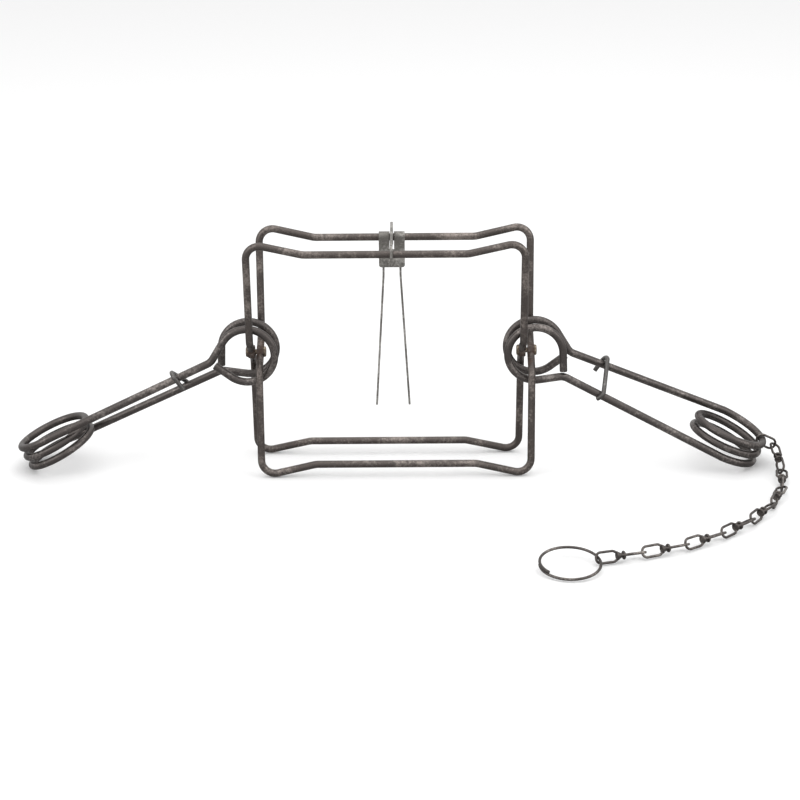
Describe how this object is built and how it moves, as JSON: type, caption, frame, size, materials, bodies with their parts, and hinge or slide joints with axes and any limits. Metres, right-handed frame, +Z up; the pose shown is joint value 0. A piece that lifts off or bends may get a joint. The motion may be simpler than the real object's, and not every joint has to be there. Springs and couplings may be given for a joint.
{
  "type": "body-gripping trap",
  "caption": "Wire-frame body-gripping trap in its set position: two riveted square jaws, side torsion springs with eyes and safety hooks, dog, wire trigger and anchor chain with ring.",
  "frame": {"origin": "on the ground, under the middle of the jaws' hinge line", "axes": "+X along the hinge towards the spring that carries the chain, +Y through the trap, +Z up"},
  "size_m": [0.7484, 0.313, 0.2383],
  "materials": {
    "jaw_steel": "dark oxidised hot-rolled wire, semi-matt, with brown patches",
    "rivet_steel": "peened steel with worn, slightly yellow edges",
    "spring_steel": "oil-tempered spring wire, dark grey-brown, semi-gloss",
    "hook_steel": "dark drawn wire",
    "trigger_steel": "plain grey pressed sheet and wire, slightly stained",
    "chain_steel": "grey-brown twisted wire links"
  },
  "bodies": {
    "pins": {"rivet_left": "rivet_steel", "rivet_right": "rivet_steel"},
    "jaw_a": {"jaw_a": "jaw_steel"},
    "jaw_b": {"jaw_b": "jaw_steel"},
    "trigger": {"trigger_bracket": "trigger_steel", "trigger_clamp": "trigger_steel", "trigger_rivet": "trigger_steel", "trigger_wire_left": "trigger_steel", "trigger_wire_right": "trigger_steel"},
    "dog": {"dog": "trigger_steel"},
    "spring_right": {"spring_coil_right": "spring_steel", "chain_anchor": "chain_steel"},
    "spring_left": {"spring_coil_left": "spring_steel"},
    "arm_front_right": {"spring_arm_front_right": "spring_steel"},
    "arm_rear_right": {"spring_arm_rear_right": "spring_steel"},
    "hook_right": {"safety_hook_right": "hook_steel"},
    "arm_front_left": {"spring_arm_front_left": "spring_steel"},
    "arm_rear_left": {"spring_arm_rear_left": "spring_steel"},
    "hook_left": {"safety_hook_left": "hook_steel"},
    "chain_link_1": {"chain_link_1": "chain_steel"},
    "chain_link_2": {"chain_link_2": "chain_steel"},
    "chain_link_3": {"chain_link_3": "chain_steel"},
    "chain_link_4": {"chain_link_4": "chain_steel"},
    "chain_link_5": {"chain_link_5": "chain_steel"},
    "chain_link_6": {"chain_link_6": "chain_steel"},
    "chain_link_7": {"chain_link_7": "chain_steel"},
    "chain_link_8": {"chain_link_8": "chain_steel"},
    "chain_ring": {"chain_ring": "chain_steel"}
  },
  "joints": [
    {"name": "jaw_a_swing", "type": "hinge", "parent": "pins", "child": "jaw_a", "pos_m": [0, 0, 0.1171], "axis": [1, 0, 0], "range_deg": [0, 65]},
    {"name": "jaw_b_swing", "type": "hinge", "parent": "pins", "child": "jaw_b", "pos_m": [0, 0, 0.1171], "axis": [1, 0, 0], "range_deg": [-65, 0]},
    {"name": "trigger_swing", "type": "hinge", "parent": "jaw_b", "child": "trigger", "pos_m": [0.0013, 0.0315, 0.2221], "axis": [1, 0, 0], "range_deg": [-20, 20]},
    {"name": "dog_lift", "type": "hinge", "parent": "jaw_b", "child": "dog", "pos_m": [0.0013, 0.0315, 0.2221], "axis": [1, 0, 0], "range_deg": [-125, 0]},
    {"name": "spring_right_swing", "type": "hinge", "parent": "pins", "child": "spring_right", "pos_m": [0.1385, 0, 0.1171], "axis": [0, 1, 0], "range_deg": [-50, 0]},
    {"name": "arm_front_right_spread", "type": "hinge", "parent": "spring_right", "child": "arm_front_right", "pos_m": [0.32844, 0, 0.02752], "axis": [0.4266, 0, 0.9045], "range_deg": [0, 10]},
    {"name": "arm_rear_right_spread", "type": "hinge", "parent": "spring_right", "child": "arm_rear_right", "pos_m": [0.32844, 0, 0.02752], "axis": [0.4266, 0, 0.9045], "range_deg": [-10, 0]},
    {"name": "hook_right_flip", "type": "hinge", "parent": "arm_rear_right", "child": "hook_right", "pos_m": [0.2106, 0.0174, 0.09415], "axis": [0.908, 0.1201, -0.4014], "range_deg": [-125, 0]},
    {"name": "spring_left_swing", "type": "hinge", "parent": "pins", "child": "spring_left", "pos_m": [-0.1385, 0, 0.1171], "axis": [0, -1, 0], "range_deg": [-50, 0]},
    {"name": "arm_rear_left_spread", "type": "hinge", "parent": "spring_left", "child": "arm_rear_left", "pos_m": [-0.32844, 0, 0.02752], "axis": [-0.4266, 0, 0.9045], "range_deg": [0, 10]},
    {"name": "arm_front_left_spread", "type": "hinge", "parent": "spring_left", "child": "arm_front_left", "pos_m": [-0.32844, 0, 0.02752], "axis": [-0.4266, 0, 0.9045], "range_deg": [-10, 0]},
    {"name": "hook_left_flip", "type": "hinge", "parent": "arm_front_left", "child": "hook_left", "pos_m": [-0.2106, -0.0174, 0.09415], "axis": [-0.908, -0.1201, -0.4014], "range_deg": [-125, 0]},
    {"name": "chain_joint_1", "type": "hinge", "parent": "spring_right", "child": "chain_link_1", "pos_m": [0.37601, 0.0013, 0.01658], "axis": [0, 0, 1], "range_deg": [-20, 20]},
    {"name": "chain_joint_2", "type": "hinge", "parent": "chain_link_1", "child": "chain_link_2", "pos_m": [0.37601, -0.0404, 0.0061], "axis": [0, 0, 1], "range_deg": [-20, 20]},
    {"name": "chain_joint_3", "type": "hinge", "parent": "chain_link_2", "child": "chain_link_3", "pos_m": [0.36855, -0.08275, 0.0061], "axis": [0, 0, 1], "range_deg": [-20, 20]},
    {"name": "chain_joint_4", "type": "hinge", "parent": "chain_link_3", "child": "chain_link_4", "pos_m": [0.35175, -0.12233, 0.0061], "axis": [0, 0, 1], "range_deg": [-20, 20]},
    {"name": "chain_joint_5", "type": "hinge", "parent": "chain_link_4", "child": "chain_link_5", "pos_m": [0.32708, -0.15756, 0.0061], "axis": [0, 0, 1], "range_deg": [-20, 20]},
    {"name": "chain_joint_6", "type": "hinge", "parent": "chain_link_5", "child": "chain_link_6", "pos_m": [0.29615, -0.18743, 0.0061], "axis": [0, 0, 1], "range_deg": [-20, 20]},
    {"name": "chain_joint_7", "type": "hinge", "parent": "chain_link_6", "child": "chain_link_7", "pos_m": [0.2605, -0.21147, 0.0061], "axis": [0, 0, 1], "range_deg": [-20, 20]},
    {"name": "chain_joint_8", "type": "hinge", "parent": "chain_link_7", "child": "chain_link_8", "pos_m": [0.22063, -0.22758, 0.0061], "axis": [0, 0, 1], "range_deg": [-20, 20]},
    {"name": "chain_joint_9", "type": "hinge", "parent": "chain_link_8", "child": "chain_ring", "pos_m": [0.1793, -0.23943, 0.0061], "axis": [0, 0, 1], "range_deg": [-14, 20]}
  ],
  "couplings": [
    {"joint": "jaw_b_swing", "follows": "jaw_a_swing", "ratio": -1},
    {"joint": "dog_lift", "follows": "jaw_a_swing", "ratio": -1.9},
    {"joint": "arm_front_right_spread", "follows": "jaw_a_swing", "ratio": 0.15},
    {"joint": "arm_rear_right_spread", "follows": "jaw_a_swing", "ratio": -0.15},
    {"joint": "hook_right_flip", "follows": "jaw_a_swing", "ratio": -1.9},
    {"joint": "arm_rear_left_spread", "follows": "jaw_a_swing", "ratio": 0.15},
    {"joint": "arm_front_left_spread", "follows": "jaw_a_swing", "ratio": -0.15},
    {"joint": "hook_left_flip", "follows": "jaw_a_swing", "ratio": -1.9}
  ]
}
